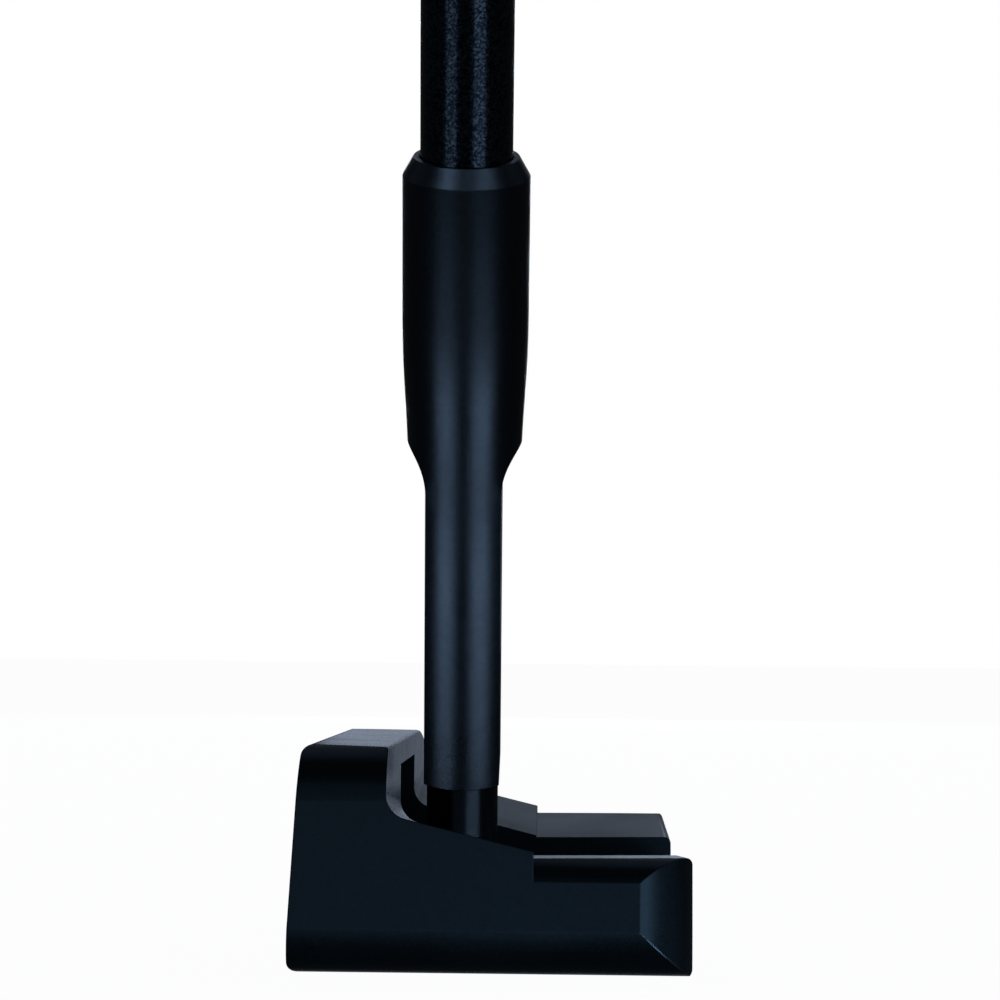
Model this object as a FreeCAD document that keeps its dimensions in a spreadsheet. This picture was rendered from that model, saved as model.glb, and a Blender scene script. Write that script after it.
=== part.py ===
import FreeCAD, Part
import math
import os
import Sketcher
from FreeCAD import Placement, Rotation, Vector

# Right-handed golf putter: a squat head with two bumpers behind a face block, a leaning neck
# on a short post, a shaft and a grip. Millimetres, +Z up, +Y from heel to toe, -X towards the
# target. The origin is on the sole, under the middle of the head.

DIMENSIONS = {
    # head, seen from the heel
    "head_length": 114.0,
    "face_foot": -24.52,
    "loft": 3.33,
    "top_front": 27.6,
    "top_rear": 27.35,
    "wall_back": -12.5,
    "rear_edge": 24.5,
    "rear_draft": 0.14,
    "step_back": 5.1,
    "ramp_high": 19.5,
    "ramp_low": 15.25,
    "flange_high": 14.45,
    "flange_rise": 0.22,
    "ramp_fillet": 3.0,
    "fall_at_wall": 2.3,
    "fall_at_step": 2.5,
    "fall_of_flange": 1.95,
    # centre channel and the pocket in the back of the face block
    "channel_half": 20.5,
    "floor_high": 8.0,
    "pocket_high": 24.2,
    "pocket_deep": 4.5,
    # rounded bands along the outer edges
    "band_sweep": 72.0,
    "top_sweep": 88.0,
    "top_band": 6.6,
    "flange_band": 2.8,
    "corner_band": 6.7,
    "sole_band": 5.8,
    "toe_corner": 5.0,
    "crown_length": 34.0,
    "crown_drop": 2.6,
    "small_edge": 0.9,
    "front_round": 1.35,
    "back_round": 0.45,
    # a cutter's outline runs this far past the metal; joined pads share this overlap
    "run_out": 1.0,
    "overlap": 0.02,
    # pieces let into the head
    "insert_long": 72.0,
    "insert_high": 17.0,
    "insert_foot": 4.6,
    "insert_thick": 2.6,
    "insert_corner": 4.0,
    "tape_thick": 0.3,
    "plate_half_x": 16.0,
    "plate_half_y": 24.0,
    "plate_corner": 4.0,
    "plate_thick": 1.5,
    "screw_x": 12.0,
    "screw_y": 20.0,
    "screw_radius": 1.5,
    "screw_head": 2.8,
    "screw_long": 6.5,
    "drive_radius": 1.05,
    "drive_deep": 0.84,
    "weight_x": 6.0,
    "weight_y": 36.0,
    "weight_radius": 9.5,
    "weight_deep": 8.0,
    "weight_key": 2.5,
    "key_deep": 3.0,
    "washer_thick": 0.6,
    "line_start": 2.0,
    "line_wide": 1.4,
    "line_deep": 0.5,
    # leaning axis that the post, neck, shaft and grip share
    "axis_x": -4.94,
    "axis_y": -0.55,
    "lean_back": 22.7,
    "lean_side": 0.43,
    "boss_radius": 6.5,
    "boss_top": 3.0,
    "boss_root": 4.0,
    "post_radius": 4.8,
    "shank_radius": 4.0,
    "shank_foot": -4.5,
    "stud_radius": 3.0,
    "stud_long": 18.0,
    "bond_thick": 0.2,
    "bond_short": 1.0,
    # neck
    "neck_foot": 16.5,
    "neck_slim": 7.2,
    "flat_half_foot": 5.01,
    "flat_half_top": 4.9,
    "flat_fillet": 8.0,
    "flat_past": 0.5,
    "cone_low": 63.4,
    "cone_low_radius": 7.4,
    "cone_high": 75.55,
    "cone_ease": 4.0,
    "neck_radius": 8.09,
    "neck_top": 101.0,
    "neck_chamfer": 1.37,
    "chamfer_long": 2.44,
    "socket_deep": 34.0,
    # shaft
    "shaft_radius": 5.845,
    "shaft_wall": 0.5,
    "taper_start": 250.0,
    "taper_end": 560.0,
    "butt_radius": 7.6,
    "shaft_end": 862.0,
    "plug_long": 12.0,
    # grip
    "grip_start": 602.0,
    "grip_end": 866.0,
    "grip_low_radius": 11.0,
    "grip_high_radius": 14.2,
    "grip_flat_low": 9.6,
    "grip_flat_high": 11.2,
    "grip_round": 2.5,
    "grip_plain": 60.0,
    "tape_inset": 4.0,
    "tape_wrap": 0.4,
    "cap_thick": 4.0,
}

EDGE_NEAR = 0.05
LEAST_CUT = 0.01

doc = FreeCAD.newDocument("putter")
sheet = doc.addObject("Spreadsheet::Sheet", "dim")
for row, (alias, number) in enumerate(DIMENSIONS.items(), start=1):
    sheet.set(f"A{row}", alias)
    sheet.set(f"B{row}", str(number))
    sheet.setAlias(f"B{row}", alias)
doc.recompute()


def value(expression):
    """The number that an expression in the sheet's cells gives."""
    return float(sheet.evalExpression(expression.replace("dim.", "")))


# ---------------------------------------------------------------- sketches and features

def new_body(label, placement=None):
    body = doc.addObject("PartDesign::Body", label)
    body.Label = label
    if placement is not None:
        body.Placement = placement
    return body


def new_sketch(body, name, role="XY_Plane", offset=None):
    """Empty sketch on one of the body's own origin planes, moved by offset from it."""
    plane = next(o for o in body.Origin.OriginFeatures if o.Role == role)
    sketch = body.newObject("Sketcher::SketchObject", name)
    sketch.AttachmentSupport = [(plane, "")]
    sketch.MapMode = "FlatFace"
    if isinstance(offset, str):
        sketch.setExpression("AttachmentOffset.Base.z", offset)
    elif offset is not None:
        sketch.AttachmentOffset = offset
    return sketch


def bind(sketch, constraint, name, expression):
    """Add a named constraint and tie it to the sheet."""
    index = sketch.addConstraint(constraint)
    sketch.renameConstraint(index, name)
    sketch.setExpression(f"Constraints.{name}", expression)


def outline(sketch, corners, tag=""):
    """Closed loop of lines, with an arc after a corner (x, y, radius, side).

    side is 1 where the arc's centre lies left of the way to the next corner, -1 where right.
    """
    points = [Vector(value(c[0]), value(c[1]), 0) for c in corners]
    ends = []
    for i, corner in enumerate(corners):
        start = points[i]
        end = points[(i + 1) % len(points)]
        if len(corner) == 2:
            index = sketch.addGeometry(Part.LineSegment(start, end), False)
            ends.append((index, 1, 2))
            continue
        radius = value(corner[2])
        half = (end - start) * 0.5
        left = Vector(-half.y, half.x, 0).normalize()
        rise = math.sqrt(max(radius ** 2 - half.Length ** 2, 0.0))
        centre = start + half + left * rise * corner[3]
        angles = [math.atan2(p.y - centre.y, p.x - centre.x) for p in (start, end)]
        first, last = angles[::corner[3]]
        circle = Part.Circle(centre, Vector(0, 0, 1), radius)
        index = sketch.addGeometry(Part.ArcOfCircle(circle, first, last), False)
        ends.append((index, 1, 2) if corner[3] > 0 else (index, 2, 1))
        bind(sketch, Sketcher.Constraint("Radius", index, radius), f"r{tag}{i}", corner[2])
    for (index, _, tail), (after, head, _) in zip(ends, ends[1:] + ends[:1]):
        sketch.addConstraint(Sketcher.Constraint("Coincident", index, tail, after, head))
    for i, (index, head, _) in enumerate(ends):
        for kind, axis, number in (("DistanceX", "x", points[i].x), ("DistanceY", "y", points[i].y)):
            constraint = Sketcher.Constraint(kind, -1, 1, index, head, number)
            bind(sketch, constraint, f"{axis}{tag}{i}", corners[i][0 if axis == "x" else 1])


def rounded_rectangle(sketch, half_x, half_y, corner, centre_y="0", tag=""):
    """Rectangle with quarter-circle corners, centred at (0, centre_y)."""
    inner_x = f"({half_x} - {corner})"
    inner_y = f"({half_y} - {corner})"
    loop = []
    turns = (("", "-", 0), ("", "", 1), ("-", "", 0), ("-", "-", 1))
    for sign_x, sign_y, swap in turns:
        along_x = (f"{sign_x}{inner_x}", f"{centre_y} + {sign_y}{half_y}")
        along_y = (f"{sign_x}{half_x}", f"{centre_y} + {sign_y}{inner_y}")
        first, last = (along_y, along_x) if swap else (along_x, along_y)
        loop.append((*first, corner, 1))
        loop.append(last)
    outline(sketch, loop, tag)


def circle(sketch, x, y, radius, tag=""):
    centre = Vector(value(x), value(y), 0)
    index = sketch.addGeometry(Part.Circle(centre, Vector(0, 0, 1), value(radius)), False)
    bind(sketch, Sketcher.Constraint("DistanceX", -1, 1, index, 3, centre.x), f"x{tag}", x)
    bind(sketch, Sketcher.Constraint("DistanceY", -1, 1, index, 3, centre.y), f"y{tag}", y)
    bind(sketch, Sketcher.Constraint("Radius", index, value(radius)), f"r{tag}", radius)


def extrude(body, kind, name, sketch, length, reverse=False, middle=False):
    """Pad or Pocket of a sketch; a Pocket has to take something away."""
    doc.recompute()
    before = body.Shape.Volume if body.Tip else 0.0
    feature = body.newObject(f"PartDesign::{kind}", name)
    feature.Profile = sketch
    feature.setExpression("Length", length)
    feature.Reversed = reverse
    if middle:
        feature.SideType = "Symmetric"
    doc.recompute()
    if kind == "Pocket" and body.Shape.Volume > before - LEAST_CUT:
        raise RuntimeError(f"{name} removes nothing")
    return feature


def turned(label, corners, placement):
    """Round piece: its half section, (radius, height) corners, turned about the local Z."""
    body = new_body(label, placement)
    sketch = new_sketch(body, f"{label}_section", "XZ_Plane")
    outline(sketch, corners)
    turn = body.newObject("PartDesign::Revolution", f"{label}_turn")
    turn.Profile = sketch
    turn.ReferenceAxis = (sketch, ["V_Axis"])
    turn.Angle = 360.0
    doc.recompute()
    return body


def soften(body, name, radius, chosen):
    """Round the edges for which chosen(edge) is true."""
    doc.recompute()
    base = body.Tip
    edges = [f"Edge{i}" for i, edge in enumerate(base.Shape.Edges, start=1) if chosen(edge)]
    if not edges:
        raise RuntimeError(f"{name} found no edges")
    fillet = body.newObject("PartDesign::Fillet", name)
    fillet.Base = (base, edges)
    fillet.setExpression("Radius", radius)
    doc.recompute()
    return fillet


# ---------------------------------------------------------------- shared frames

LEAN = Rotation(Vector(0, 1, 0), value("dim.lean_side")) * Rotation(Vector(1, 0, 0), value("dim.lean_back"))
AXIS = Placement(Vector(value("dim.axis_x"), value("dim.axis_y"), value("dim.floor_high")), LEAN)

# The face's own plane: local X towards the heel, local Y up the face, local Z out of it.
FACE_UP = Vector(math.sin(math.radians(value("dim.loft"))), 0, math.cos(math.radians(value("dim.loft"))))
FACE_OUT = Vector(0, -1, 0).cross(FACE_UP)
FACE = Placement(Vector(value("dim.face_foot"), 0, 0), Rotation(Vector(0, -1, 0), FACE_UP, FACE_OUT, "ZXY"))
SOLE = Placement(Vector(0, 0, 0), Rotation(Vector(1, 0, 0), 180))


# ---------------------------------------------------------------- head

HALF = "dim.head_length / 2"
SCREW_SIGNS = (("", ""), ("-", ""), ("-", "-"), ("", "-"))
LINE_CORNERS = [
    ("dim.line_start", "-dim.line_wide / 2"),
    ("dim.rear_edge", "-dim.line_wide / 2"),
    ("dim.rear_edge", "dim.line_wide / 2"),
    ("dim.line_start", "dim.line_wide / 2"),
]


def band_arc(height, sweep="dim.band_sweep"):
    """Radius and reach of an edge band that ends tangent, after a crease if it sweeps under 90."""
    radius = f"({height} / (1 - cos({sweep})))"
    return radius, f"({radius} * sin({sweep}))"


def bumper_profile(sketch, fall_wall, fall_step, fall_flange):
    """Side of a bumper: fillet at the face block's wall, ramp, small step and flange."""
    high = f"(dim.ramp_high - {fall_wall})"
    low = f"(dim.ramp_low - {fall_step})"
    flange = f"(dim.flange_high + dim.flange_rise - {fall_flange})"
    slope = f"atan(({high} - {low}) / (dim.step_back - dim.wall_back))"
    reach = f"(dim.ramp_fillet * tan((90 deg - {slope}) / 2))"
    outline(sketch, [
        ("dim.wall_back - dim.run_out", "0"),
        ("dim.rear_edge - dim.small_edge", "0", "dim.small_edge", 1),
        ("dim.rear_edge", "dim.small_edge"),
        ("dim.rear_edge - dim.rear_draft", f"{flange} - dim.small_edge", "dim.small_edge", 1),
        ("dim.rear_edge - dim.rear_draft - dim.small_edge", flange),
        ("dim.step_back", f"dim.flange_high - {fall_flange}"),
        ("dim.step_back", low),
        (f"dim.wall_back + {reach} * cos({slope})", f"{high} - {reach} * sin({slope})",
         "dim.ramp_fillet", -1),
        ("dim.wall_back", f"{high} + {reach}"),
        ("dim.wall_back - dim.run_out", f"{high} + {reach}"),
    ])


def head_block(body):
    face_top = "dim.face_foot + dim.top_front * tan(dim.loft)"
    side = new_sketch(body, "block_side", "XZ_Plane")
    outline(side, [
        ("dim.face_foot", "0"),
        ("dim.wall_back", "0"),
        ("dim.wall_back", "dim.top_rear"),
        (face_top, "dim.top_front"),
    ])
    extrude(body, "Pad", "block", side, "dim.head_length", middle=True)
    rounds = (
        ("front_foot_round", "dim.front_round", "dim.face_foot", "0"),
        ("face_top_round", "dim.front_round", face_top, "dim.top_front"),
        ("block_back_round", "dim.back_round", "dim.wall_back", "dim.top_rear"),
    )
    for name, radius, x, z in rounds:
        place = Part.Vertex(Vector(value(x), 0, value(z)))
        soften(body, name, radius, lambda edge: edge.distToShape(place)[0] < EDGE_NEAR)


def head_bumpers(body):
    outer = new_sketch(body, "bumper_outside", "XZ_Plane", HALF)
    bumper_profile(outer, "0", "0", "0")
    inner = new_sketch(body, "bumper_inside", "XZ_Plane", "dim.channel_half")
    bumper_profile(inner, "dim.fall_at_wall", "dim.fall_at_step", "dim.fall_of_flange")
    doc.recompute()
    loft = body.newObject("PartDesign::AdditiveLoft", "heel_bumper")
    loft.Profile = outer
    loft.Sections = [(inner, [""])]
    loft.Ruled = True
    doc.recompute()
    mirror = body.newObject("PartDesign::Mirrored", "toe_bumper")
    mirror.Originals = [loft]
    plane = next(o for o in body.Origin.OriginFeatures if o.Role == "XZ_Plane")
    mirror.MirrorPlane = (plane, [""])
    body.Tip = mirror
    doc.recompute()


def head_floor(body):
    side = new_sketch(body, "floor_side", "XZ_Plane")
    outline(side, [
        ("dim.wall_back - dim.run_out", "0"),
        ("dim.rear_edge - dim.small_edge", "0", "dim.small_edge", 1),
        ("dim.rear_edge", "dim.small_edge"),
        ("dim.rear_edge", "dim.floor_high"),
        ("dim.wall_back - dim.run_out", "dim.floor_high"),
    ])
    extrude(body, "Pad", "floor", side, "2 * dim.channel_half + dim.overlap", middle=True)


def head_edges(body):
    """Cut the outer edges back to their bands, as seen from the face and from above."""
    radius, reach = band_arc("dim.top_band", "dim.top_sweep")
    sketch = new_sketch(body, "heel_top_band", "YZ_Plane")
    outline(sketch, [
        (f"-{HALF}", "dim.top_front - dim.top_band", radius, -1),
        (f"-{HALF} + {reach}", "dim.top_front"),
        (f"-{HALF} + {reach}", "dim.top_front + dim.run_out"),
        (f"-{HALF} - dim.run_out", "dim.top_front + dim.run_out"),
        (f"-{HALF} - dim.run_out", "dim.top_front - dim.top_band"),
    ])
    extrude(body, "Pocket", "heel_top_cut", sketch, "dim.head_length", middle=True)

    crown = "(dim.crown_length ^ 2 / (2 * dim.crown_drop))"
    sketch = new_sketch(body, "toe_crown", "YZ_Plane")
    outline(sketch, [
        (f"{HALF} - dim.crown_length", "dim.top_front", f"{crown} + dim.crown_drop / 2", -1),
        (HALF, "dim.top_front - dim.crown_drop"),
        (f"{HALF} + dim.run_out", "dim.top_front - dim.crown_drop"),
        (f"{HALF} + dim.run_out", "dim.top_front + dim.run_out"),
        (f"{HALF} - dim.crown_length", "dim.top_front + dim.run_out"),
    ])
    extrude(body, "Pocket", "toe_crown_cut", sketch, "dim.head_length", middle=True)

    radius, reach = band_arc("dim.flange_band")
    for name, sign, turn in (("heel", "-", -1), ("toe", "", 1)):
        sketch = new_sketch(body, f"{name}_flange_band", "YZ_Plane", "dim.step_back")
        outline(sketch, [
            (f"{sign}{HALF}", "dim.flange_high - dim.flange_band", radius, turn),
            (f"{sign}({HALF} - {reach})", "dim.flange_high"),
            (f"{sign}({HALF} - {reach})", "dim.flange_high + dim.run_out"),
            (f"{sign}({HALF} + dim.run_out)", "dim.flange_high + dim.run_out"),
            (f"{sign}({HALF} + dim.run_out)", "dim.flange_high - dim.flange_band"),
        ])
        extrude(body, "Pocket", f"{name}_flange_cut", sketch, "dim.rear_edge", reverse=True)

    radius, reach = band_arc("dim.sole_band")
    for name, sign, turn in (("heel", "-", 1), ("toe", "", -1)):
        sketch = new_sketch(body, f"{name}_sole_band", "YZ_Plane")
        outline(sketch, [
            (f"{sign}{HALF}", "dim.sole_band", radius, turn),
            (f"{sign}({HALF} - {reach})", "0"),
            (f"{sign}({HALF} - {reach})", "-dim.run_out"),
            (f"{sign}({HALF} + dim.run_out)", "-dim.run_out"),
            (f"{sign}({HALF} + dim.run_out)", "dim.sole_band"),
        ])
        extrude(body, "Pocket", f"{name}_sole_cut", sketch, "dim.head_length", middle=True)

    radius, reach = band_arc("dim.corner_band")
    sketch = new_sketch(body, "rear_corners")
    outline(sketch, [
        ("dim.rear_edge - dim.corner_band", f"-{HALF}", radius, 1),
        ("dim.rear_edge", f"-{HALF} + {reach}"),
        ("dim.rear_edge + dim.run_out", f"-{HALF} + {reach}"),
        ("dim.rear_edge + dim.run_out", f"-{HALF} - dim.run_out"),
        ("dim.rear_edge - dim.corner_band", f"-{HALF} - dim.run_out"),
    ], "heel")
    outline(sketch, [
        ("dim.rear_edge", f"{HALF} - dim.toe_corner", "dim.toe_corner", 1),
        ("dim.rear_edge - dim.toe_corner", HALF),
        ("dim.rear_edge - dim.toe_corner", f"{HALF} + dim.run_out"),
        ("dim.rear_edge + dim.run_out", f"{HALF} + dim.run_out"),
        ("dim.rear_edge + dim.run_out", f"{HALF} - dim.toe_corner"),
    ], "toe")
    extrude(body, "Pocket", "rear_corner_cut", sketch, HALF, reverse=True)


def head_pocket(body):
    sketch = new_sketch(body, "back_pocket", "YZ_Plane", "dim.wall_back")
    outline(sketch, [
        ("-dim.channel_half", "dim.floor_high"),
        ("dim.channel_half", "dim.floor_high"),
        ("dim.channel_half", "dim.pocket_high"),
        ("-dim.channel_half", "dim.pocket_high"),
    ])
    extrude(body, "Pocket", "back_pocket_cut", sketch, "dim.pocket_deep")


def head_boss(body):
    """Round boss on the channel floor, square to the leaning axis, with the post's hole."""
    sketch = new_sketch(body, "boss_round", offset=AXIS)
    circle(sketch, "0", "0", "dim.boss_radius")
    pad = extrude(body, "Pad", "boss", sketch, "dim.boss_top")
    pad.SideType = "Two sides"
    pad.setExpression("Length2", "dim.boss_root")
    doc.recompute()
    top = AXIS.multiply(Placement(Vector(0, 0, value("dim.boss_top")), Rotation()))
    sketch = new_sketch(body, "post_hole_round", offset=top)
    circle(sketch, "0", "0", "dim.shank_radius + dim.bond_thick")
    extrude(body, "Pocket", "post_hole", sketch, "dim.boss_top - dim.shank_foot + dim.bond_thick")


def head_recesses(body):
    sketch = new_sketch(body, "insert_recess", offset=FACE)
    rounded_rectangle(sketch, "dim.insert_long / 2", "dim.insert_high / 2", "dim.insert_corner",
                      "(dim.insert_foot + dim.insert_high / 2)")
    extrude(body, "Pocket", "insert_recess_cut", sketch, "dim.insert_thick + dim.tape_thick")

    sketch = new_sketch(body, "plate_recess", offset=SOLE)
    rounded_rectangle(sketch, "dim.plate_half_x", "dim.plate_half_y", "dim.plate_corner")
    extrude(body, "Pocket", "plate_recess_cut", sketch, "dim.plate_thick")

    sketch = new_sketch(body, "weight_round", offset=SOLE)
    circle(sketch, "dim.weight_x", "dim.weight_y", "dim.weight_radius", "heel")
    circle(sketch, "dim.weight_x", "-dim.weight_y", "dim.weight_radius", "toe")
    extrude(body, "Pocket", "weight_bores", sketch, "dim.weight_deep + dim.washer_thick")

    sketch = new_sketch(body, "screw_round", offset=SOLE)
    for number, (sign_x, sign_y) in enumerate(SCREW_SIGNS):
        circle(sketch, f"{sign_x}dim.screw_x", f"{sign_y}dim.screw_y", "dim.screw_radius", f"n{number}")
    extrude(body, "Pocket", "screw_holes", sketch, "dim.screw_long")

    sketch = new_sketch(body, "line_groove", "XY_Plane", "dim.floor_high")
    outline(sketch, LINE_CORNERS)
    extrude(body, "Pocket", "line_groove_cut", sketch, "dim.line_deep")


def build_head():
    body = new_body("head_body", Placement())
    head_block(body)
    head_bumpers(body)
    head_floor(body)
    head_edges(body)
    head_pocket(body)
    head_boss(body)
    head_recesses(body)


# ---------------------------------------------------------------- pieces let into the head

def build_insert():
    middle = "(dim.insert_foot + dim.insert_high / 2)"
    for label, thick, depth in (("face_insert", "dim.insert_thick", "0"),
                                ("face_insert_tape", "dim.tape_thick", "dim.insert_thick")):
        body = new_body(label, FACE.multiply(Placement(Vector(0, 0, -value(depth)), Rotation())))
        sketch = new_sketch(body, f"{label}_round")
        rounded_rectangle(sketch, "dim.insert_long / 2", "dim.insert_high / 2", "dim.insert_corner", middle)
        extrude(body, "Pad", f"{label}_pad", sketch, thick, reverse=True)


def build_sole_plate():
    body = new_body("sole_plate", SOLE)
    sketch = new_sketch(body, "plate_round")
    rounded_rectangle(sketch, "dim.plate_half_x", "dim.plate_half_y", "dim.plate_corner")
    extrude(body, "Pad", "plate_pad", sketch, "dim.plate_thick", reverse=True)
    sketch = new_sketch(body, "plate_holes")
    for number, (sign_x, sign_y) in enumerate(SCREW_SIGNS):
        circle(sketch, f"{sign_x}dim.screw_x", f"{sign_y}dim.screw_y", "dim.screw_radius", f"n{number}")
    doc.recompute()
    hole = body.newObject("PartDesign::Hole", "plate_countersinks")
    hole.Profile = sketch
    doc.recompute()
    hole.Threaded = False
    hole.DepthType = "ThroughAll"
    hole.setExpression("Diameter", "2 * dim.screw_radius")
    hole.HoleCutType = "Countersink"
    hole.setExpression("HoleCutDiameter", "2 * dim.screw_head")
    hole.HoleCutCountersinkAngle = 90
    doc.recompute()


def build_sole_screws():
    """Four flat-head screws standing up from the sole, each with a round drive recess."""
    radius = value("dim.screw_radius")
    head = value("dim.screw_head")
    screws = []
    for sign_x in (1, -1):
        for sign_y in (1, -1):
            foot = Vector(sign_x * value("dim.screw_x"), sign_y * value("dim.screw_y"), 0)
            cone = Part.makeCone(head, radius, head - radius, foot)
            shank = Part.makeCylinder(radius, value("dim.screw_long"), foot)
            drive = Part.makeCylinder(value("dim.drive_radius"), value("dim.drive_deep"), foot)
            screws.append(cone.fuse(shank).removeSplitter().cut(drive))
    group = doc.addObject("Part::Feature", "sole_screws")
    group.Label = "sole_screws"
    group.Shape = Part.makeCompound(screws)


def build_weights():
    for label, sign in (("heel_weight", "-"), ("toe_weight", "")):
        place = Placement(Vector(value("dim.weight_x"), value(f"{sign}dim.weight_y"), 0), Rotation())
        body = new_body(label, place)
        sketch = new_sketch(body, f"{label}_round")
        circle(sketch, "0", "0", "dim.weight_radius")
        extrude(body, "Pad", f"{label}_pad", sketch, "dim.weight_deep")
        sketch = new_sketch(body, f"{label}_key")
        flats = [(f"dim.weight_key * cos({60 * i})", f"dim.weight_key * sin({60 * i})") for i in range(6)]
        outline(sketch, flats)
        extrude(body, "Pocket", f"{label}_key_cut", sketch, "dim.key_deep", reverse=True)
        washer = f"{label}_washer"
        place = place.multiply(Placement(Vector(0, 0, value("dim.weight_deep")), Rotation()))
        body = new_body(washer, place)
        sketch = new_sketch(body, f"{washer}_round")
        circle(sketch, "0", "0", "dim.weight_radius", "out")
        circle(sketch, "0", "0", "dim.weight_radius / 2", "in")
        extrude(body, "Pad", f"{washer}_pad", sketch, "dim.washer_thick")


def build_sight_line():
    body = new_body("sight_line", Placement(Vector(0, 0, value("dim.floor_high")), Rotation()))
    sketch = new_sketch(body, "line_shape")
    outline(sketch, LINE_CORNERS)
    extrude(body, "Pad", "line_pad", sketch, "dim.line_deep", reverse=True)


# ---------------------------------------------------------------- post, neck and shaft

def tube(inside, outside, low, high):
    """Half section of a plain tube."""
    return [(inside, low), (outside, low), (outside, high), (inside, high)]


def build_post():
    turned("hosel_post", [
        ("0", "dim.shank_foot"),
        ("dim.shank_radius", "dim.shank_foot"),
        ("dim.shank_radius", "dim.boss_top"),
        ("dim.post_radius", "dim.boss_top"),
        ("dim.post_radius", "dim.neck_foot"),
        ("dim.stud_radius", "dim.neck_foot"),
        ("dim.stud_radius", "dim.neck_foot + dim.stud_long"),
        ("0", "dim.neck_foot + dim.stud_long"),
    ], AXIS)
    turned("post_bond", tube("dim.shank_radius", "dim.shank_radius + dim.bond_thick",
                             "dim.shank_foot", "dim.boss_top"), AXIS)
    turned("neck_bond", tube("dim.stud_radius", "dim.stud_radius + dim.bond_thick",
                             "dim.neck_foot", "dim.neck_foot + dim.stud_long"), AXIS)


def build_neck():
    """Turned from bar with an eased cone, then slimmed by two milled flats that face +X and -X."""
    bore = "(dim.shaft_radius + dim.bond_thick)"
    stud = "(dim.stud_radius + dim.bond_thick)"
    socket = "(dim.neck_top - dim.socket_deep)"
    ease = "dim.cone_ease"
    slim = "atan((dim.cone_low_radius - dim.neck_slim) / (dim.cone_low - dim.neck_foot))"
    cone = "atan((dim.neck_radius - dim.cone_low_radius) / (dim.cone_high - dim.cone_low))"
    body = turned("neck", [
        (stud, "dim.neck_foot"),
        ("dim.neck_slim", "dim.neck_foot"),
        (f"dim.cone_low_radius - {ease} * sin({slim})", f"dim.cone_low - {ease} * cos({slim})",
         f"{ease} / tan(({cone} - {slim}) / 2)", -1),
        (f"dim.cone_low_radius + {ease} * sin({cone})", f"dim.cone_low + {ease} * cos({cone})"),
        (f"dim.neck_radius - {ease} * sin({cone})", f"dim.cone_high - {ease} * cos({cone})",
         f"{ease} / tan({cone} / 2)", 1),
        ("dim.neck_radius", f"dim.cone_high + {ease}"),
        ("dim.neck_radius", "dim.neck_top - dim.chamfer_long"),
        ("dim.neck_radius - dim.neck_chamfer", "dim.neck_top"),
        (bore, "dim.neck_top"),
        (bore, socket),
        ("0", socket),
        ("0", "dim.neck_foot + dim.stud_long"),
        (stud, "dim.neck_foot + dim.stud_long"),
    ], AXIS)
    # The cutter's radius lifts each flat out to the surface where the cone ends.
    lift = "(dim.cone_low_radius - dim.flat_half_top)"
    rise = f"sqrt(dim.flat_fillet ^ 2 - (dim.flat_fillet - {lift}) ^ 2)"
    past = f"sqrt(dim.flat_fillet ^ 2 - (dim.flat_fillet - {lift} - dim.flat_past) ^ 2)"
    flat_top = f"dim.cone_low - {rise}"
    for name, sign, side in (("right", "", 1), ("left", "-", -1)):
        sketch = new_sketch(body, f"{name}_flat", "XZ_Plane")
        outline(sketch, [
            (f"{sign}dim.flat_half_foot", "dim.neck_foot - dim.run_out"),
            (f"{sign}(2 * dim.neck_slim)", "dim.neck_foot - dim.run_out"),
            (f"{sign}(2 * dim.neck_slim)", f"{flat_top} + {past}"),
            (f"{sign}(dim.cone_low_radius + dim.flat_past)", f"{flat_top} + {past}", "dim.flat_fillet", side),
            (f"{sign}dim.flat_half_top", flat_top),
        ])
        extrude(body, "Pocket", f"{name}_flat_cut", sketch, "4 * dim.neck_radius", middle=True)


def build_shaft():
    wall = "dim.shaft_wall"
    foot = "dim.neck_top - dim.socket_deep"
    turned("shaft", [
        (f"dim.shaft_radius - {wall}", foot),
        ("dim.shaft_radius", foot),
        ("dim.shaft_radius", "dim.taper_start"),
        ("dim.butt_radius", "dim.taper_end"),
        ("dim.butt_radius", "dim.shaft_end"),
        (f"dim.butt_radius - {wall}", "dim.shaft_end"),
        (f"dim.butt_radius - {wall}", "dim.taper_end"),
        (f"dim.shaft_radius - {wall}", "dim.taper_start"),
    ], AXIS)
    turned("shaft_bond", tube("dim.shaft_radius", "dim.shaft_radius + dim.bond_thick",
                              foot, "dim.neck_top - dim.bond_short"), AXIS)
    turned("tip_plug", [
        ("0", foot),
        (f"dim.shaft_radius - {wall}", foot),
        (f"dim.shaft_radius - {wall}", f"{foot} + dim.plug_long"),
        ("0", f"{foot} + dim.plug_long"),
    ], AXIS)
    turned("butt_plug", [
        ("0", "dim.shaft_end - dim.plug_long"),
        (f"dim.butt_radius - {wall}", "dim.shaft_end - dim.plug_long"),
        (f"dim.butt_radius - {wall}", "dim.shaft_end"),
        ("0", "dim.shaft_end"),
    ], AXIS)


# ---------------------------------------------------------------- grip

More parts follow.
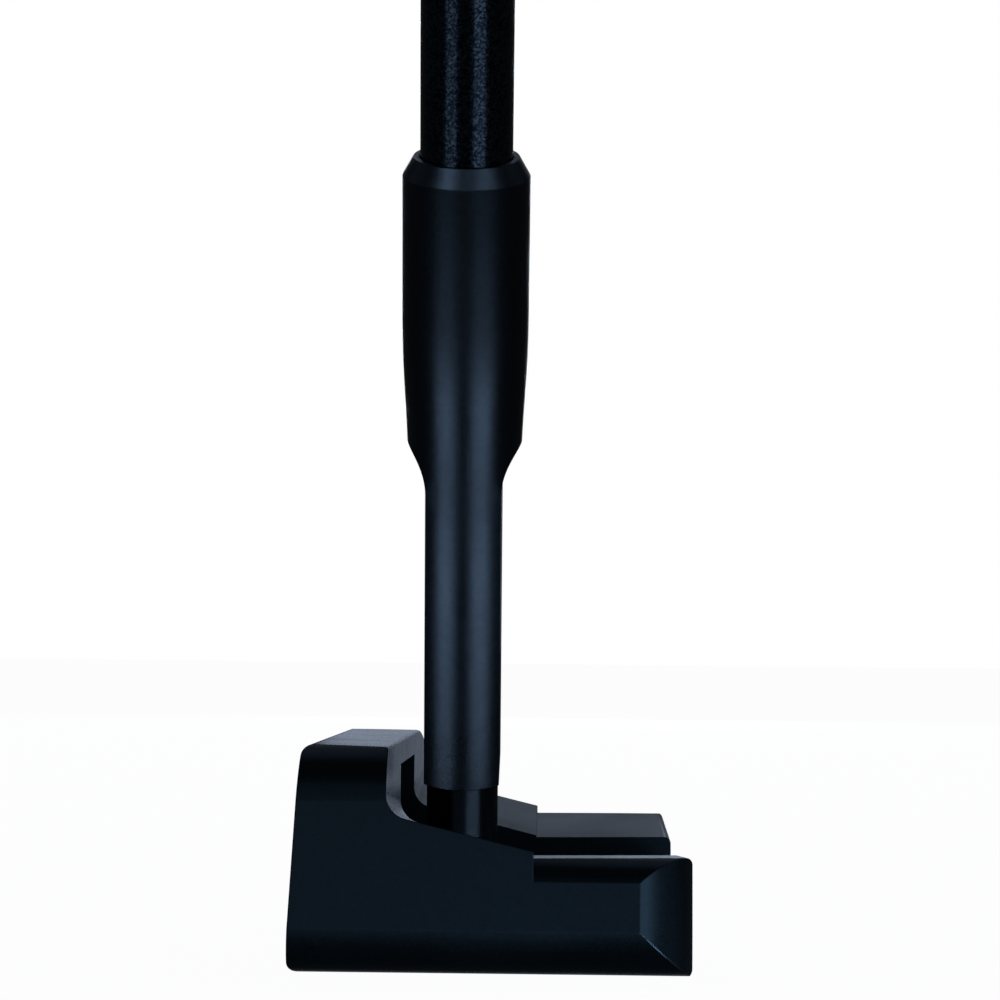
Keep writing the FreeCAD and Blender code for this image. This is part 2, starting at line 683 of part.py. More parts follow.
def build_grip():
    skin = "(dim.butt_radius + dim.tape_wrap)"
    turned("grip_tape", tube("dim.butt_radius", skin,
                             "dim.grip_start + dim.tape_inset", "dim.shaft_end"), AXIS)
    body = turned("grip", [
        (skin, "dim.grip_start"),
        ("dim.grip_low_radius - dim.grip_round", "dim.grip_start", "dim.grip_round", 1),
        ("dim.grip_low_radius", "dim.grip_start + dim.grip_round"),
        ("dim.grip_high_radius", "dim.grip_end - dim.grip_plain"),
        ("dim.grip_high_radius", "dim.grip_end"),
        (skin, "dim.grip_end"),
    ], AXIS)
    sketch = new_sketch(body, "thumb_flat", "YZ_Plane")
    outline(sketch, [
        ("dim.grip_flat_low", "dim.grip_start - dim.run_out"),
        ("dim.grip_high_radius + dim.run_out", "dim.grip_start - dim.run_out"),
        ("dim.grip_high_radius + dim.run_out", "dim.grip_end + dim.run_out"),
        ("dim.grip_flat_high", "dim.grip_end + dim.run_out"),
    ])
    extrude(body, "Pocket", "thumb_flat_cut", sketch, "4 * dim.grip_high_radius", middle=True)

    cap = turned("grip_cap", [
        ("0", "dim.shaft_end"),
        (skin, "dim.shaft_end"),
        (skin, "dim.grip_end"),
        ("dim.grip_high_radius", "dim.grip_end"),
        ("dim.grip_high_radius", "dim.grip_end + dim.cap_thick - dim.grip_round", "dim.grip_round", 1),
        ("dim.grip_high_radius - dim.grip_round", "dim.grip_end + dim.cap_thick"),
        ("0", "dim.grip_end + dim.cap_thick"),
    ], AXIS)
    sketch = new_sketch(cap, "cap_flat", "YZ_Plane")
    outline(sketch, [
        ("dim.grip_flat_high", "dim.grip_end - dim.run_out"),
        ("dim.grip_high_radius + dim.run_out", "dim.grip_end - dim.run_out"),
        ("dim.grip_high_radius + dim.run_out", "dim.grip_end + dim.cap_thick + dim.run_out"),
        ("dim.grip_flat_high", "dim.grip_end + dim.cap_thick + dim.run_out"),
    ])
    extrude(cap, "Pocket", "cap_flat_cut", sketch, "4 * dim.grip_high_radius", middle=True)


# ---------------------------------------------------------------- build, check and write

def sub_parts():
    kinds = ("PartDesign::Body", "Part::Feature")
    return [o for o in doc.Objects if o.TypeId in kinds]


def check():
    for obj in doc.Objects:
        if {"Invalid", "Error"} & set(obj.State):
            raise RuntimeError(f"{obj.Label} is {obj.State}")
    for piece in sub_parts():
        if piece.Shape.isNull() or not piece.Shape.isValid():
            raise RuntimeError(f"{piece.Label} has no valid shape")


def write():
    os.makedirs("parts", exist_ok=True)
    for piece in sub_parts():
        piece.Shape.exportStep(f"parts/{piece.Label}.step")
        print(f"{piece.Label:22s} {len(piece.Shape.Solids)} solid(s) {piece.Shape.Volume / 1000:8.3f} cm3")


build_head()
build_insert()
build_sole_plate()
build_sole_screws()
build_weights()
build_sight_line()
build_post()
build_neck()
build_shaft()
build_grip()
doc.recompute()
check()
write()
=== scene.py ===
import bpy
import bmesh
import math
from mathutils import Matrix, Vector


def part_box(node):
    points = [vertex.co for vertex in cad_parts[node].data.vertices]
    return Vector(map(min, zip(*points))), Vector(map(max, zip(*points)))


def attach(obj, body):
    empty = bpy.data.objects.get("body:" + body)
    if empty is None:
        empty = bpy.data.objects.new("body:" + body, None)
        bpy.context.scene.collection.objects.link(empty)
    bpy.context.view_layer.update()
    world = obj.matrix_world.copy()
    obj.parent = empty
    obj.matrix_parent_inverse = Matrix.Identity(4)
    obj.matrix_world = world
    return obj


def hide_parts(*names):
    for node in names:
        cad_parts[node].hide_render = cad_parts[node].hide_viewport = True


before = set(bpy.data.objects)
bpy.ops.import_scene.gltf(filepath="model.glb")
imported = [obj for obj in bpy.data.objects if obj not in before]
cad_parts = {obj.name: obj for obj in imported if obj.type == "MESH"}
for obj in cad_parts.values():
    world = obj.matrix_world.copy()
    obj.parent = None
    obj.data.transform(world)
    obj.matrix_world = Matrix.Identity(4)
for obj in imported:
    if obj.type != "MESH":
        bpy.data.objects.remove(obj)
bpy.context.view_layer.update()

MM = 0.001
MICRON = 0.000001

# The leaning axis shared by the post, neck, shaft and grip, as in the CAD.
LEAN_BACK = math.radians(22.7)
LEAN_SIDE = math.radians(0.43)
AXIS_FOOT = Vector((-4.94, -0.55, 8.0)) * MM
LEAN = Matrix.Rotation(LEAN_SIDE, 3, "Y") @ Matrix.Rotation(LEAN_BACK, 3, "X")


def on_axis(x, y, along):
    """A point in the leaning frame, given in millimetres."""
    return AXIS_FOOT + LEAN @ (Vector((x, y, along)) * MM)


# ---------------------------------------------------------------- node helpers

def new_material(name, **inputs):
    """Principled material; a key such as Specular_IOR_Level sets the socket of that name."""
    material = bpy.data.materials.new(name)
    material.use_nodes = True
    shader = material.node_tree.nodes["Principled BSDF"]
    for key, number in inputs.items():
        shader.inputs[key.replace("_", " ")].default_value = number
    return material, material.node_tree, shader


def put(tree, kind, inputs=None, **settings):
    """Add a node; inputs maps a socket's name or number to a value or to another socket."""
    node = tree.nodes.new(kind)
    for key, setting in settings.items():
        setattr(node, key, setting)
    for key, given in (inputs or {}).items():
        socket = node.inputs[key]
        if isinstance(given, bpy.types.NodeSocket):
            tree.links.new(given, socket)
        else:
            socket.default_value = given
    return node


def math_node(tree, operation, first, second=0.0):
    return put(tree, "ShaderNodeMath", {0: first, 1: second}, operation=operation).outputs[0]


def share(tree, source, weight):
    return math_node(tree, "MULTIPLY", source, weight)


# A noise texture seldom leaves this range, so it is stretched from here.
NOISE_LOW, NOISE_HIGH = 0.3, 0.7


def spread(tree, source, low, high, start=NOISE_LOW, end=NOISE_HIGH):
    """Map start..end of the source to low..high."""
    node = put(tree, "ShaderNodeMapRange", {"Value": source, "From Min": start, "From Max": end,
                                            "To Min": low, "To Max": high})
    return node.outputs["Result"]


def tones(tree, source, stops):
    """Colour ramp through (place, colour) stops."""
    ramp = put(tree, "ShaderNodeValToRGB", {"Fac": source})
    while len(ramp.color_ramp.elements) < len(stops):
        ramp.color_ramp.elements.new(0.5)
    for element, (place, colour) in zip(ramp.color_ramp.elements, stops):
        element.position = place
        element.color = (*colour, 1.0)
    return ramp.outputs["Color"]


def place_of(tree):
    return put(tree, "ShaderNodeTexCoord").outputs["Object"]


def leaning_place(tree):
    """Coordinates in the leaning frame, in metres, with Z along the shaft."""
    back = LEAN.transposed()
    shift = -(back @ AXIS_FOOT)
    turned = put(tree, "ShaderNodeMapping", {"Vector": place_of(tree), "Location": tuple(shift),
                                             "Rotation": tuple(back.to_euler())}, vector_type="POINT")
    return turned.outputs["Vector"]


def noise(tree, place, scale, detail=2.0, rough=0.5):
    return put(tree, "ShaderNodeTexNoise", {"Vector": place, "Scale": scale, "Detail": detail,
                                            "Roughness": rough}).outputs["Fac"]


def bump(tree, height, distance, strength=1.0, normal=None):
    inputs = {"Height": height, "Distance": distance, "Strength": strength}
    if normal is not None:
        inputs["Normal"] = normal
    return put(tree, "ShaderNodeBump", inputs).outputs["Normal"]


def soft_edges(tree, radius):
    return put(tree, "ShaderNodeBevel", {"Radius": radius}, samples=6).outputs["Normal"]


# ---------------------------------------------------------------- materials

def blasted_metal(name, colour, pale, rough, glance, edge, grain, rings=0.0):
    """Dark anodised metal with a fine blasted grain and uneven dye.

    Its roughness goes from rough to glance where the surface is seen at a glancing angle. Edges
    are softened by the edge radius, and rings turns on lathe marks of that scale.
    """
    material, tree, shader = new_material(name, Metallic=1.0)
    place = leaning_place(tree) if rings else place_of(tree)
    fine = noise(tree, place, 5200.0, 3.0, 0.65)
    broad = noise(tree, place, 60.0, 3.0)
    cloud = noise(tree, place, 900.0, 4.0, 0.6)
    mixed = math_node(tree, "ADD", share(tree, fine, 0.5), share(tree, cloud, 0.5))
    dye = put(tree, "ShaderNodeMix", {"Factor": spread(tree, mixed, 0.0, 1.0)}, data_type="RGBA")
    dye.inputs["A"].default_value = (*colour, 1.0)
    dye.inputs["B"].default_value = (*pale, 1.0)
    tree.links.new(dye.outputs["Result"], shader.inputs["Base Color"])
    uneven = math_node(tree, "ADD", spread(tree, broad, -0.03, 0.03), spread(tree, fine, -0.05, 0.05))
    facing = put(tree, "ShaderNodeLayerWeight", {"Blend": 0.5}).outputs["Facing"]
    sheen = spread(tree, facing, rough, glance, 0.9, 1.0)
    tree.links.new(math_node(tree, "ADD", uneven, sheen), shader.inputs["Roughness"])
    normal = soft_edges(tree, edge)
    if rings:
        wave = put(tree, "ShaderNodeTexWave", {"Vector": place, "Scale": rings, "Distortion": 0.6,
                                               "Detail": 2.0, "Detail Scale": 3.0}, bands_direction="Z")
        normal = bump(tree, wave.outputs["Fac"], 4 * MICRON, 0.35, normal)
    normal = bump(tree, fine, 8 * MICRON * grain, 0.5, normal)
    normal = bump(tree, cloud, 6 * MICRON, 0.4, normal)
    tree.links.new(normal, shader.inputs["Normal"])
    return material


def face_metal():
    """Face insert, milled with two crossing sets of shallow arcs."""
    material, tree, shader = new_material("face_milled", Metallic=1.0)
    place = place_of(tree)
    waves = []
    for angle in (0.7, -0.7):
        turned = put(tree, "ShaderNodeMapping", {"Vector": place, "Rotation": (angle, 0.0, 0.0)})
        wave = put(tree, "ShaderNodeTexWave", {"Vector": turned.outputs["Vector"], "Scale": 190.0,
                                               "Distortion": 0.4, "Detail": 1.0}, bands_direction="Y")
        waves.append(wave.outputs["Fac"])
    milled = math_node(tree, "MULTIPLY", *waves)
    grain = noise(tree, place, 4200.0, 3.0)
    colour = tones(tree, milled, [(0.0, (0.020, 0.026, 0.034)), (0.7, (0.045, 0.055, 0.068)),
                                  (1.0, (0.085, 0.1, 0.12))])
    tree.links.new(colour, shader.inputs["Base Color"])
    tree.links.new(spread(tree, grain, 0.28, 0.42), shader.inputs["Roughness"])
    normal = bump(tree, milled, 120 * MICRON, 0.8)
    normal = bump(tree, grain, 10 * MICRON, 0.4, normal)
    tree.links.new(normal, shader.inputs["Normal"])
    return material


def brushed_steel(name, colour, stretch):
    """Steel with fine scratches, long in the direction in which stretch is small."""
    material, tree, shader = new_material(name, Metallic=1.0)
    drawn = put(tree, "ShaderNodeMapping", {"Vector": place_of(tree), "Scale": stretch})
    scratch = noise(tree, drawn.outputs["Vector"], 420.0, 5.0, 0.7)
    patch = noise(tree, place_of(tree), 90.0, 3.0)
    pale = tuple(min(1.0, c * 1.5) for c in colour)
    tree.links.new(tones(tree, scratch, [(0.3, colour), (0.75, pale)]), shader.inputs["Base Color"])
    uneven = math_node(tree, "ADD", spread(tree, scratch, 0.22, 0.42), spread(tree, patch, -0.05, 0.05))
    tree.links.new(uneven, shader.inputs["Roughness"])
    tree.links.new(bump(tree, scratch, 20 * MICRON, 0.5, soft_edges(tree, 0.2 * MM)), shader.inputs["Normal"])
    return material


def turned_steel(name, colour, centre):
    """Steel turned on a lathe, with fine rings round the given centre."""
    ring_pitch = 0.32 * MM
    material, tree, shader = new_material(name, Metallic=1.0)
    place = place_of(tree)
    flat = put(tree, "ShaderNodeVectorMath", {0: place, 1: (1.0, 1.0, 0.0)}, operation="MULTIPLY")
    reach = put(tree, "ShaderNodeVectorMath", {0: flat.outputs["Vector"], 1: (centre[0], centre[1], 0.0)},
                operation="DISTANCE")
    ring = math_node(tree, "SINE", share(tree, reach.outputs["Value"], 2 * math.pi / ring_pitch))
    grain = noise(tree, place, 2600.0, 3.0)
    pale = tuple(c * 1.35 for c in colour)
    tree.links.new(tones(tree, grain, [(0.3, colour), (0.7, pale)]), shader.inputs["Base Color"])
    tree.links.new(spread(tree, grain, 0.2, 0.34), shader.inputs["Roughness"])
    normal = bump(tree, ring, 8 * MICRON, 0.6, soft_edges(tree, 0.3 * MM))
    tree.links.new(normal, shader.inputs["Normal"])
    return material


def coated_shaft():
    """Black coat full of fine metal fleck: it shows as sparkle wherever a lamp is mirrored."""
    material, tree, shader = new_material("shaft_coat", Metallic=1.0)
    place = leaning_place(tree)
    cells = put(tree, "ShaderNodeTexVoronoi", {"Vector": place, "Scale": 4000.0})
    pick = put(tree, "ShaderNodeSeparateColor", {"Color": cells.outputs["Color"]})
    colour = tones(tree, pick.outputs["Red"], [(0.0, (0.008, 0.014, 0.026)), (0.5, (0.028, 0.045, 0.066)),
                                               (1.0, (0.098, 0.140, 0.182))])
    tree.links.new(colour, shader.inputs["Base Color"])
    grain = noise(tree, place, 3200.0, 3.0, 0.6)
    tree.links.new(spread(tree, grain, 0.12, 0.22), shader.inputs["Roughness"])
    normal = bump(tree, grain, 10 * MICRON, 0.4)
    normal = bump(tree, pick.outputs["Green"], 5 * MICRON, 0.4, normal)
    tree.links.new(normal, shader.inputs["Normal"])
    return material


def moulded_rubber(name, dimples):
    """Matte rubber: a fine moulded skin, with rows of small dimples where the hands go."""
    material, tree, shader = new_material(name, Metallic=0.0, Specular_IOR_Level=0.35)
    place = leaning_place(tree)
    skin = noise(tree, place, 3400.0, 4.0, 0.6)
    wear = noise(tree, place, 45.0, 3.0)
    mixed = math_node(tree, "ADD", share(tree, skin, 0.4), share(tree, wear, 0.6))
    colour = tones(tree, mixed, [(0.3, (0.014, 0.0148, 0.017)), (0.7, (0.030, 0.0315, 0.035))])
    tree.links.new(colour, shader.inputs["Base Color"])
    tree.links.new(spread(tree, wear, 0.58, 0.78), shader.inputs["Roughness"])
    normal = bump(tree, skin, 50 * MICRON, 0.5)
    if dimples:
        cells = put(tree, "ShaderNodeTexVoronoi", {"Vector": place, "Scale": 620.0, "Randomness": 0.0})
        pit = spread(tree, cells.outputs["Distance"], 0.0, 1.0, 0.12, 0.42)
        normal = bump(tree, pit, 250 * MICRON, 0.8, normal)
    tree.links.new(normal, shader.inputs["Normal"])
    return material


def simple_grain(name, colour, pale, rough, scale, metallic=0.0, height=30 * MICRON):
    """Plain grained finish for small or hidden pieces: oxide, paint, adhesive, foam and tape."""
    uneven = 0.07
    material, tree, shader = new_material(name, Metallic=metallic)
    place = place_of(tree)
    grain = noise(tree, place, scale, 4.0, 0.6)
    tree.links.new(tones(tree, grain, [(0.3, colour), (0.7, pale)]), shader.inputs["Base Color"])
    tree.links.new(spread(tree, grain, rough - uneven, rough + uneven), shader.inputs["Roughness"])
    tree.links.new(bump(tree, grain, height, 0.6), shader.inputs["Normal"])
    return material


def middle(node):
    low, high = (Vector(corner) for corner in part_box(node))
    return (low + high) / 2


HEAD = blasted_metal("head_anodised", (0.028, 0.048, 0.064), (0.036, 0.060, 0.078),
                     rough=0.32, glance=0.16, edge=0.22 * MM, grain=0.5)
NECK = blasted_metal("neck_anodised", (0.034, 0.046, 0.062), (0.048, 0.064, 0.084),
                     rough=0.33, glance=0.28, edge=0.25 * MM, grain=4.0, rings=150.0)
POST = blasted_metal("post_anodised", (0.028, 0.040, 0.054), (0.036, 0.050, 0.066),
                     rough=0.24, glance=0.2, edge=0.2 * MM, grain=0.8, rings=210.0)
FACE = face_metal()
PLATE = brushed_steel("plate_brushed", (0.30, 0.31, 0.33), stretch=(1.0, 0.03, 1.0))
SCREW = simple_grain("screw_black_oxide", (0.03, 0.032, 0.036), (0.07, 0.074, 0.08), 0.34, 2600.0, metallic=1.0)
SHAFT = coated_shaft()
GRIP = moulded_rubber("grip_rubber", dimples=True)
CAP = moulded_rubber("cap_rubber", dimples=False)
LINE = simple_grain("line_paint", (0.66, 0.66, 0.63), (0.80, 0.80, 0.77), 0.4, 1500.0)
FOAM = simple_grain("plug_foam", (0.10, 0.10, 0.11), (0.17, 0.17, 0.18), 0.85, 2000.0, height=100 * MICRON)
TAPE = simple_grain("tape_paper", (0.60, 0.57, 0.50), (0.76, 0.73, 0.66), 0.75, 2400.0, height=60 * MICRON)
EPOXY = simple_grain("bond_epoxy", (0.05, 0.05, 0.05), (0.10, 0.10, 0.09), 0.3, 900.0)
RUBBER = simple_grain("washer_rubber", (0.018, 0.018, 0.02), (0.03, 0.03, 0.033), 0.65, 1800.0)
STEEL = (0.24, 0.245, 0.26)

FINISHES = {
    "head_body": HEAD, "neck": NECK, "hosel_post": POST, "face_insert": FACE, "sole_plate": PLATE,
    "shaft": SHAFT, "sight_line": LINE, "face_insert_tape": TAPE, "grip_tape": TAPE,
    "post_bond": EPOXY, "neck_bond": EPOXY, "shaft_bond": EPOXY, "tip_plug": FOAM, "butt_plug": FOAM,
    "heel_weight_washer": RUBBER, "toe_weight_washer": RUBBER,
    "heel_weight": turned_steel("heel_weight_turned", STEEL, middle("heel_weight")),
    "toe_weight": turned_steel("toe_weight_turned", STEEL, middle("toe_weight")),
}


def dress(obj, material):
    obj.data.materials.clear()
    obj.data.materials.append(material)


for node_name, finish in FINISHES.items():
    dress(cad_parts[node_name], finish)


# ---------------------------------------------------------------- pieces that replace plain CAD solids

def skin_rings(name, rings, closed_tube=False):
    """Mesh through rings of equal size; its ends are fanned shut unless it closes on itself."""
    mesh = bmesh.new()
    rows = [[mesh.verts.new(point) for point in ring] for ring in rings]
    pairs = list(zip(rows, rows[1:] + rows[:1])) if closed_tube else list(zip(rows, rows[1:]))
    for low, high in pairs:
        for i in range(len(low)):
            j = (i + 1) % len(low)
            mesh.faces.new((low[i], low[j], high[j], high[i]))
    if not closed_tube:
        for row in (rows[0], rows[-1]):
            centre = mesh.verts.new(sum((v.co for v in row), Vector()) / len(row))
            for i in range(len(row)):
                mesh.faces.new((row[i], row[(i + 1) % len(row)], centre))
    bmesh.ops.recalc_face_normals(mesh, faces=mesh.faces)
    for face in mesh.faces:
        face.smooth = True
    data = bpy.data.meshes.new(name)
    mesh.to_mesh(data)
    mesh.free()
    obj = bpy.data.objects.new(name, data)
    bpy.context.collection.objects.link(obj)
    return obj


# The object that shows each node; the lamps below are linked to these.
SHOWN = dict(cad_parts)


def finish_piece(obj, material, node):
    SHOWN[node] = obj
    dress(obj, material)
    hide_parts(node)
    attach(obj, "root")


# Millimetres along the shaft's axis and out from it, as in the CAD.
AROUND = 112
SHAFT_END, GRIP_START, GRIP_END, GRIP_TOP = 862.0, 602.0, 866.0, 870.0
GRIP_LOW, GRIP_GROWTH, GRIP_PLAIN = 11.0, 3.2, 60.0
FLAT_LOW, FLAT_GROWTH = 9.7, 1.5
SKIN_RADIUS = 8.0
LIP = 2.5


def grip_reach(angle, along, inset=0.0):
    """Outer reach of the grip: round, with a thumb flat facing local +Y and soft corners."""
    from_lip = along - GRIP_START - LIP
    grow = min(1.0, max(0.0, from_lip / (GRIP_END - GRIP_PLAIN - GRIP_START - LIP)))
    ease = grow * grow * (3.0 - 2.0 * grow)
    round_reach = GRIP_LOW + GRIP_GROWTH * (0.6 * grow + 0.4 * ease) - inset
    facing = math.sin(angle)
    if facing < 0.2:
        return round_reach
    share_along = (along - GRIP_START) / (GRIP_END - GRIP_START)
    flat_reach = (FLAT_LOW + FLAT_GROWTH * share_along - inset) / facing
    soft = 1.4
    blend = max(soft - abs(round_reach - flat_reach), 0.0) / soft
    return min(round_reach, flat_reach) - blend * blend * soft / 4


def ring_on_axis(along, reach_at):
    """Ring of points round the axis, reach_at(angle) away from it."""
    ring = []
    for i in range(AROUND):
        angle = 2 * math.pi * i / AROUND
        reach = reach_at(angle)
        ring.append(on_axis(reach * math.cos(angle), reach * math.sin(angle), along))
    return ring


def grip_ring(along, inset=0.0):
    return ring_on_axis(along, lambda angle: grip_reach(angle, along, inset))


def round_ring(radius, along):
    return ring_on_axis(along, lambda angle: radius)


def groove_rings():
    """Places along the grip's side with the depth there: plain, but for two bands of grooves."""
    pitch, bands = 3.0, (GRIP_START + 8.0, GRIP_END - 22.0)
    grooves = [start + pitch * i for start in bands for i in range(6)]
    profile = ((-0.6, 0.0), (-0.3, 0.28), (0.0, 0.4), (0.3, 0.28), (0.6, 0.0))
    clear_of_groove = 0.7
    depths = {}
    for i in range(104):
        along = GRIP_START + 3.5 + 2.5 * i
        if along < GRIP_END - 0.5 and all(abs(along - groove) > clear_of_groove for groove in grooves):
            depths[round(along, 3)] = 0.0
    for groove in grooves:
        for gap, depth in profile:
            depths[round(groove + gap, 3)] = depth
    return sorted(depths.items())


def grip_body():
    """Tube with a rolled lower lip, two bands of ring grooves and a plain waist between."""
    rings = [round_ring(SKIN_RADIUS, GRIP_START)]
    steps = 6
    for step in range(steps + 1):
        turn = math.pi / 2 * step / steps
        rings.append(grip_ring(GRIP_START + LIP * (1 - math.cos(turn)), LIP * (1 - math.sin(turn))))
    rings += [grip_ring(along, depth) for along, depth in groove_rings()]
    rings += [grip_ring(GRIP_END - 0.3), grip_ring(GRIP_END, 0.25), round_ring(SKIN_RADIUS, GRIP_END)]
    finish_piece(skin_rings("grip_moulded", rings, closed_tube=True), GRIP, "grip")


def grip_button():
    """End cap: the grip's own outline, a rolled edge, a shallow dish and a vent."""
    rings = [round_ring(SKIN_RADIUS, SHAFT_END), round_ring(SKIN_RADIUS, GRIP_END), grip_ring(GRIP_END, 0.3),
             grip_ring(GRIP_END + 0.3), grip_ring(GRIP_TOP - LIP)]
    steps = 7
    for step in range(1, steps + 1):
        turn = math.pi / 2 * step / steps
        rings.append(grip_ring(GRIP_TOP - LIP * (1 - math.sin(turn)), LIP * (1 - math.cos(turn))))
    dish = ((4.0, 0.05), (4.6, 0.45), (5.4, 0.6))
    rings += [grip_ring(GRIP_TOP - drop, inset) for inset, drop in dish]
    vent = ((5.0, 0.62), (3.0, 0.6), (1.35, 0.6), (1.1, 0.8), (1.0, 2.6))
    rings += [round_ring(radius, GRIP_TOP - drop) for radius, drop in vent]
    finish_piece(skin_rings("grip_button", rings), CAP, "grip_cap")


SCREW_X, SCREW_Y = 12.0, 20.0


def screw_ring(foot, radius, height, lobe=0.0):
    turns, lobes = 60, 6
    points = []
    for i in range(turns):
        angle = 2 * math.pi * i / turns
        reach = radius + lobe * math.cos(lobes * angle)
        points.append((foot + Vector((reach * math.cos(angle), reach * math.sin(angle), height))) * MM)
    return points


def sole_screws():
    """Four flat-head screws with a six-lobed drive, as (radius, height, lobe) rings from the tip."""
    profile = ((1.1, 6.5), (1.5, 6.1), (1.5, 1.35), (1.55, 1.25), (2.72, 0.12), (2.75, 0.06), (2.7, 0.02),
               (1.6, 0.02), (1.16, 0.02, 0.19), (1.1, 0.1, 0.19), (1.1, 1.0, 0.19), (0.5, 1.15))
    places = [(SCREW_X * sign_x, SCREW_Y * sign_y) for sign_x in (1, -1) for sign_y in (1, -1)]
    for number, (x, y) in enumerate(places, start=1):
        rings = [screw_ring(Vector((x, y, 0.0)), *row) for row in profile]
        finish_piece(skin_rings(f"sole_screw_{number}", rings), SCREW, "sole_screws")


grip_body()
grip_button()
sole_screws()

# ---------------------------------------------------------------- floor, light and camera

ROOM_TINT = (0.80, 0.90, 1.0)
COOL = (0.72, 0.83, 1.0)
HAZE = (0.66, 0.78, 1.0)


def build_floor():
    """Pale plane that glows to the camera only, so that lamps below it still reach the object."""
    half, level = 12.0, -0.3 * MM
    corners = [(-half, -half, level), (half, -half, level), (half, half, level), (-half, half, level)]
    data = bpy.data.meshes.new("floor")
    data.from_pydata(corners, [], [(0, 1, 2, 3)])
    floor = bpy.data.objects.new("floor", data)
    bpy.context.collection.objects.link(floor)
    material = bpy.data.materials.new("floor_pale")
    material.use_nodes = True
    tree = material.node_tree
    tree.nodes.clear()
    glow = put(tree, "ShaderNodeEmission", {"Color": (1.0, 1.0, 1.0, 1.0), "Strength": 0.97})
    matte = put(tree, "ShaderNodeBsdfDiffuse", {"Color": (0.3, 0.3, 0.3, 1.0)})
    both = put(tree, "ShaderNodeAddShader", {0: glow.outputs[0], 1: matte.outputs[0]})
    out = put(tree, "ShaderNodeOutputMaterial")
    tree.links.new(both.outputs[0], out.inputs["Surface"])
    floor.data.materials.append(material)
    floor.visible_glossy = False
    floor.visible_shadow = False
    floor.visible_diffuse = False


def build_world():
    """White to the eye; a dim cool room to everything else."""
    world = bpy.data.worlds.new("studio")
    world.use_nodes = True
    tree = world.node_tree
    tree.nodes.clear()
    eye = put(tree, "ShaderNodeLightPath").outputs["Is Camera Ray"]
    white = put(tree, "ShaderNodeBackground", {"Color": (1.0, 1.0, 1.0, 1.0), "Strength": 1.0})
    room = put(tree, "ShaderNodeBackground", {"Color": (*ROOM_TINT, 1.0), "Strength": 0.02})
    both = put(tree, "ShaderNodeMixShader", {0: eye, 1: room.outputs[0], 2: white.outputs[0]})
    out = put(tree, "ShaderNodeOutputWorld")
    tree.links.new(both.outputs[0], out.inputs["Surface"])
    bpy.context.scene.world = world


AIM = Vector((-0.005, -0.02, 0.07))
HIGH_AIM = on_axis(0.0, 0.0, 620.0)
EVERYTHING = ()
HEAD_ONLY = ("head_body",)
HEAD_AND_FACE = ("head_body", "face_insert")
NECK_ONLY = ("neck",)
SHAFT_ONLY = ("shaft",)
POST_ONLY = ("hosel_post",)
RODS = ("neck", "shaft", "hosel_post")
LONG_PIECES = ("shaft", "grip", "grip_cap")
BEFORE_HEAD = {"neck", "hosel_post"}


def soft_box(name, azimuth, elevation, distance, wide, tall, glow, only, tint=COOL, leaning=False, aim=AIM):
    """Rectangular lamp. Azimuth 0 is the camera's side, 90 is +X; glow is its brightness.

    With only, the lamp lights those pieces alone and nothing else stands in its way. With
    leaning, its angles and its long side follow the shaft instead of the upright.
    """
    azimuth, elevation = math.radians(azimuth), math.radians(elevation)
    away = Vector((math.sin(azimuth) * math.cos(elevation), -math.cos(azimuth) * math.cos(elevation),
                   math.sin(elevation)))
    turn = away.to_track_quat("Z", "Y").to_matrix()
    if leaning:
        away = LEAN @ away
        turn = LEAN @ turn
    data = bpy.data.lights.new(name, "AREA")
    data.shape = "RECTANGLE"
    data.size = wide
    data.size_y = tall
    data.energy = glow * math.pi * wide * tall
    data.color = tint
    lamp = bpy.data.objects.new(name, data)
    bpy.context.collection.objects.link(lamp)
    lamp.location = aim + away * distance
    lamp.rotation_mode = "QUATERNION"
    lamp.rotation_quaternion = turn.to_quaternion()
    lamp.visible_camera = False
    if only:
        group = bpy.data.collections.new(f"{name}_lit")
        for node in only:
            group.objects.link(SHOWN[node])
        # Rays traced from the neck and the post would meet the head before a low lamp.
        data.cycles.use_multiple_importance_sampling = not BEFORE_HEAD & set(only)
        lamp.light_linking.receiver_collection = group
        lamp.light_linking.blocker_collection = group


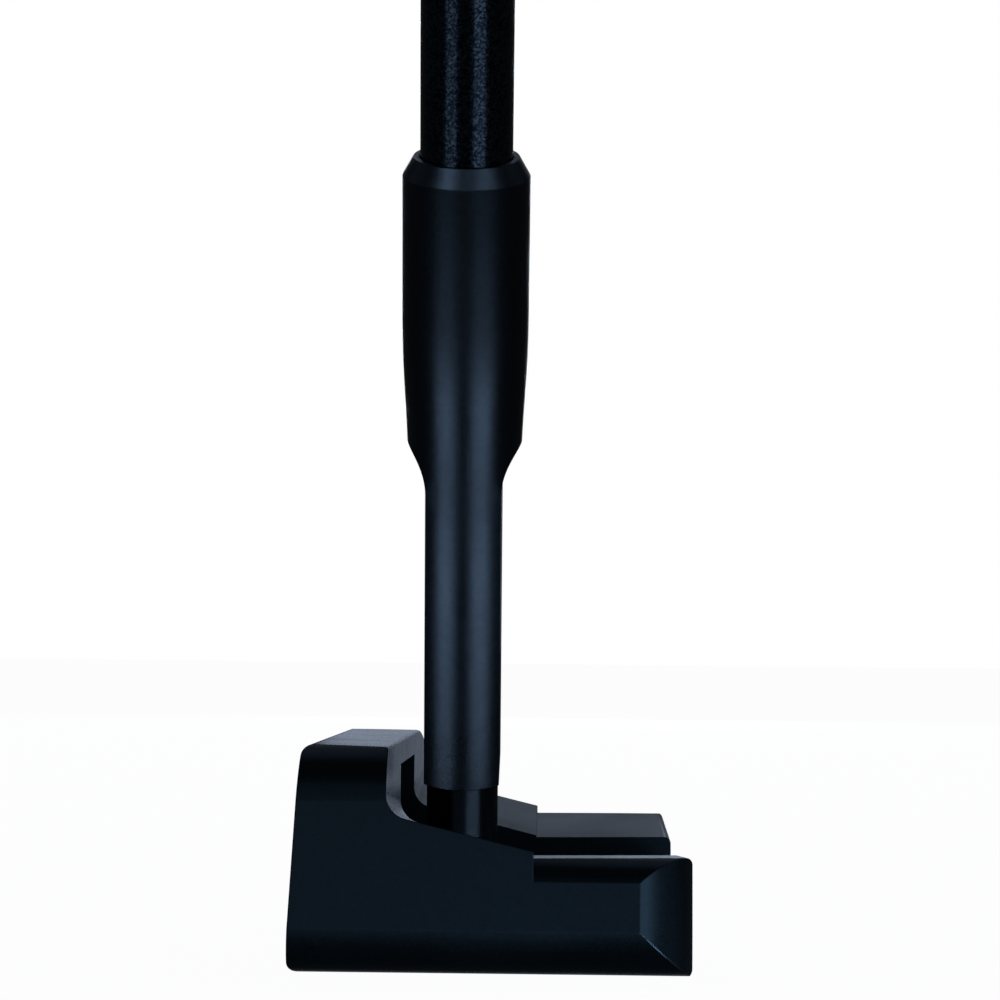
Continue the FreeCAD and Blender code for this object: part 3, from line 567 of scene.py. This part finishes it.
def build_light():
    """Lamps as name, azimuth, elevation, distance, width, height, glow and the pieces they light."""
    # The front: a pair of streaks on each rod, the chamfer, the heel side and its corner band.
    soft_box("neck_right", 34.0, -25.5, 0.2, 0.115, 0.04, 3.3, NECK_ONLY, leaning=True)
    soft_box("neck_left", -35.0, -25.5, 0.2, 0.105, 0.04, 3.2, NECK_ONLY, leaning=True)
    soft_box("chamfer_right", 33.0, 22.0, 0.9, 0.46, 0.26, 1.7, NECK_ONLY)
    soft_box("chamfer_left", -31.0, 22.0, 0.9, 0.30, 0.26, 3.0, NECK_ONLY)
    soft_box("chamfer_front", 0.0, 22.0, 0.9, 0.30, 0.26, 0.4, NECK_ONLY)
    soft_box("neck_rim", 0.0, -4.0, 0.9, 0.70, 0.08, 1.0, NECK_ONLY)
    soft_box("shaft_right", 32.5, -13.0, 0.9, 0.46, 0.50, 0.44, SHAFT_ONLY, leaning=True)
    soft_box("shaft_left", -38.0, -13.0, 0.9, 0.42, 0.50, 0.32, SHAFT_ONLY, leaning=True)
    soft_box("post_right", 36.0, -24.0, 0.9, 0.60, 0.50, 0.72, POST_ONLY, leaning=True)
    soft_box("post_fill", -8.0, -24.0, 0.9, 0.60, 0.50, 0.08, POST_ONLY, leaning=True)
    soft_box("side_low", 0.0, -25.0, 1.0, 0.90, 0.97, 0.175, HEAD_ONLY)
    soft_box("side_high", 0.0, 19.0, 1.0, 0.90, 0.60, 0.08, HEAD_ONLY)
    soft_box("corner_level", 46.0, 0.0, 0.9, 0.30, 0.40, 0.92, HEAD_ONLY)
    soft_box("corner_low", 48.0, -36.0, 0.9, 0.30, 0.30, 14.0, HEAD_ONLY, tint=HAZE)
    # Low behind the object: the haze that the tops and the wall mirror.
    soft_box("horizon", 179.0, 4.0, 1.5, 0.30, 0.26, 0.56, EVERYTHING, tint=HAZE)
    soft_box("wall_glow", 174.0, -3.0, 1.5, 0.22, 0.26, 0.28, HEAD_ONLY, tint=HAZE)
    # All round, dim.
    soft_box("top_box", 180.0, 66.0, 1.2, 1.00, 0.80, 0.11, EVERYTHING)
    soft_box("side_box_left", -100.0, 25.0, 1.2, 0.80, 0.80, 0.07, EVERYTHING)
    soft_box("side_box_right", 100.0, 25.0, 1.2, 0.80, 0.80, 0.07, EVERYTHING)
    soft_box("back_box", 180.0, 30.0, 1.4, 1.20, 0.50, 0.10, EVERYTHING)
    # For the sides that face away from the camera.
    for side in (-1, 1):
        soft_box(f"head_side_{side}", 92.0 * side, -24.0, 0.9, 0.50, 0.34, 0.30, HEAD_AND_FACE)
        soft_box(f"head_top_{side}", 100.0 * side, 22.0, 0.9, 0.80, 0.40, 0.30, HEAD_ONLY)
        soft_box(f"rod_back_{side}", 168.0 * side, 4.0, 0.9, 0.28, 0.80, 0.5, RODS, leaning=True)
        for where, azimuth in (("front", 40.0), ("back", 160.0)):
            soft_box(f"long_{where}_{side}", azimuth * side, 0.0, 0.9, 0.30, 0.60, 1.1, LONG_PIECES,
                     leaning=True, aim=HIGH_AIM)
    soft_box("face_low", -50.0, -16.0, 0.9, 0.36, 0.40, 0.35, HEAD_AND_FACE)
    soft_box("toe_left", -135.0, -18.0, 0.9, 0.50, 0.36, 0.30, HEAD_ONLY)
    soft_box("toe_right", 140.0, -26.0, 0.9, 0.50, 0.30, 0.12, HEAD_ONLY)
    soft_box("toe_low", 180.0, -19.0, 0.9, 0.50, 0.36, 0.30, HEAD_ONLY)


def build_camera():
    data = bpy.data.cameras.new("camera")
    data.sensor_width = 36.0
    data.lens = 113.4
    camera = bpy.data.objects.new("camera", data)
    bpy.context.collection.objects.link(camera)
    camera.location = (0.00702, -0.433, 0.03874)
    pitch, yaw, roll = (math.radians(angle) for angle in (2.790, 0.964, 0.6))
    look = (Matrix.Rotation(yaw, 4, "Z") @ Matrix.Rotation(math.pi / 2 + pitch, 4, "X")
            @ Matrix.Rotation(roll, 4, "Z"))
    camera.rotation_mode = "XYZ"
    camera.rotation_euler = look.to_euler()
    bpy.context.scene.camera = camera


build_floor()
build_world()
build_light()
build_camera()
# The default transform would turn the white surroundings grey.
bpy.context.scene.view_settings.view_transform = "Standard"
